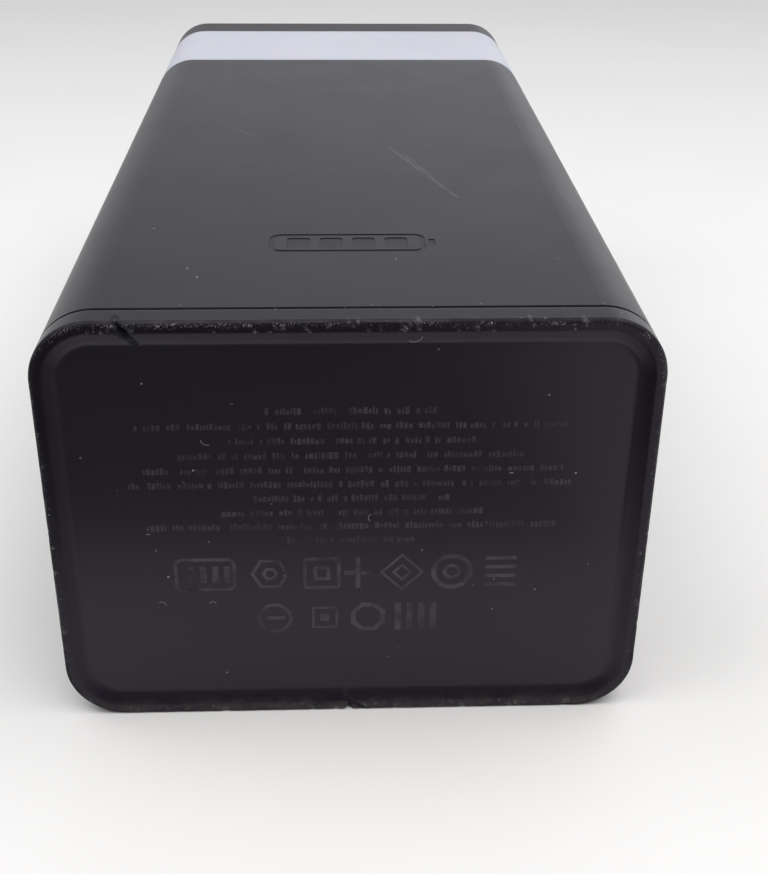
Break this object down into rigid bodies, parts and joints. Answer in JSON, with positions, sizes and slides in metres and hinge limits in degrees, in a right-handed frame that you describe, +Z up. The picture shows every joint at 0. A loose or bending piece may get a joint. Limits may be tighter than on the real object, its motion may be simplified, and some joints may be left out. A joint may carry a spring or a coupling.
{
  "type": "power bank with lamp",
  "caption": "Large rounded rectangular power bank with a matt shell, recessed end panels, a milky lamp band round one end, charging sockets, a display and a press button.",
  "frame": {"origin": "centre of the footprint of the broad face it lies on, at table height", "axes": "+X across the pack, +Y along its length from the foot cap to the control face, +Z up from the broad face it lies on"},
  "size_m": [0.084, 0.1956, 0.0635],
  "materials": {
    "matt_shell": "fine spark texture, matt, worn a little brighter on its edges",
    "matt_cap": "fine spark texture, matt",
    "button": "satin",
    "smoked_inlay": "polished smoked plastic",
    "milky_diffuser": "translucent milky plastic, satin",
    "white_plastic": "moulded, satin",
    "foam": "open foam",
    "cell_wrap": "shrink wrap",
    "holder_plastic": "moulded, matt",
    "nickel": "rolled strip, satin",
    "fish_paper": "pressed paper",
    "green_board": "solder mask",
    "black_board": "solder mask",
    "white_board": "white solder mask",
    "led_phosphor": "phosphor gel in a white frame",
    "wire_insulation": "silicone insulation, one red and one black lead of each pair",
    "ferrite": "pressed ferrite",
    "chip_epoxy": "moulded epoxy",
    "screw_steel": "zinc plated",
    "socket_steel": "stamped and plated",
    "socket_white": "moulded",
    "socket_black": "moulded",
    "display_face": "black case with sunk digit bars",
    "switch_black": "moulded",
    "plunger_plastic": "moulded"
  },
  "bodies": {
    "pack": {"base_cap": "matt_shell", "body_sleeve": "matt_shell", "top_cap": "matt_cap", "base_foam_pad": "foam", "cell_lower_1": "cell_wrap", "cell_lower_2": "cell_wrap", "cell_lower_3": "cell_wrap", "cell_lower_4": "cell_wrap", "cell_lower_5": "cell_wrap", "cell_lower_6": "cell_wrap", "cell_lower_7": "cell_wrap", "cell_lower_8": "cell_wrap", "cell_lower_9": "cell_wrap", "cell_lower_10": "cell_wrap", "cell_lower_11": "cell_wrap", "cell_lower_12": "cell_wrap", "cell_upper_1": "cell_wrap", "cell_upper_2": "cell_wrap", "cell_upper_3": "cell_wrap", "cell_upper_4": "cell_wrap", "cell_upper_5": "cell_wrap", "cell_upper_6": "cell_wrap", "cell_upper_7": "cell_wrap", "cell_upper_8": "cell_wrap", "cell_upper_9": "cell_wrap", "cell_upper_10": "cell_wrap", "cell_upper_11": "cell_wrap", "cell_upper_12": "cell_wrap", "cell_holder_1": "holder_plastic", "cell_holder_2": "holder_plastic", "cell_holder_3": "holder_plastic", "cell_holder_4": "holder_plastic", "lower_negative_strip": "nickel", "lower_positive_strip": "nickel", "upper_negative_strip": "nickel", "upper_positive_strip": "nickel", "insulator_sheets": "fish_paper", "protection_board": "green_board", "battery_leads": "wire_insulation", "lamp_core": "white_plastic", "board_tray": "white_plastic", "lamp_boards": "white_board", "lamp_leds": "led_phosphor", "lamp_diffuser": "milky_diffuser", "main_board": "black_board", "power_inductors": "ferrite", "circuit_chips": "chip_epoxy", "screws": "screw_steel", "usb_a_shell_left": "socket_steel", "usb_a_shell_right": "socket_steel", "usb_c_shell": "socket_steel", "micro_usb_shell": "socket_steel", "usb_a_tongues": "socket_white", "usb_c_tongue": "socket_black", "micro_usb_tongue": "socket_black", "display_module": "display_face", "tact_switch": "switch_black", "control_panel": "smoked_inlay"},
    "button": {"power_button": "button", "switch_plunger": "plunger_plastic"}
  },
  "joints": [
    {"name": "power_button_press", "type": "slide", "parent": "pack", "child": "button", "axis": [0, -1, 0], "range_m": [0, 0.0005], "stiffness_N_per_m": 4000, "springref_m": -0.0001}
  ]
}
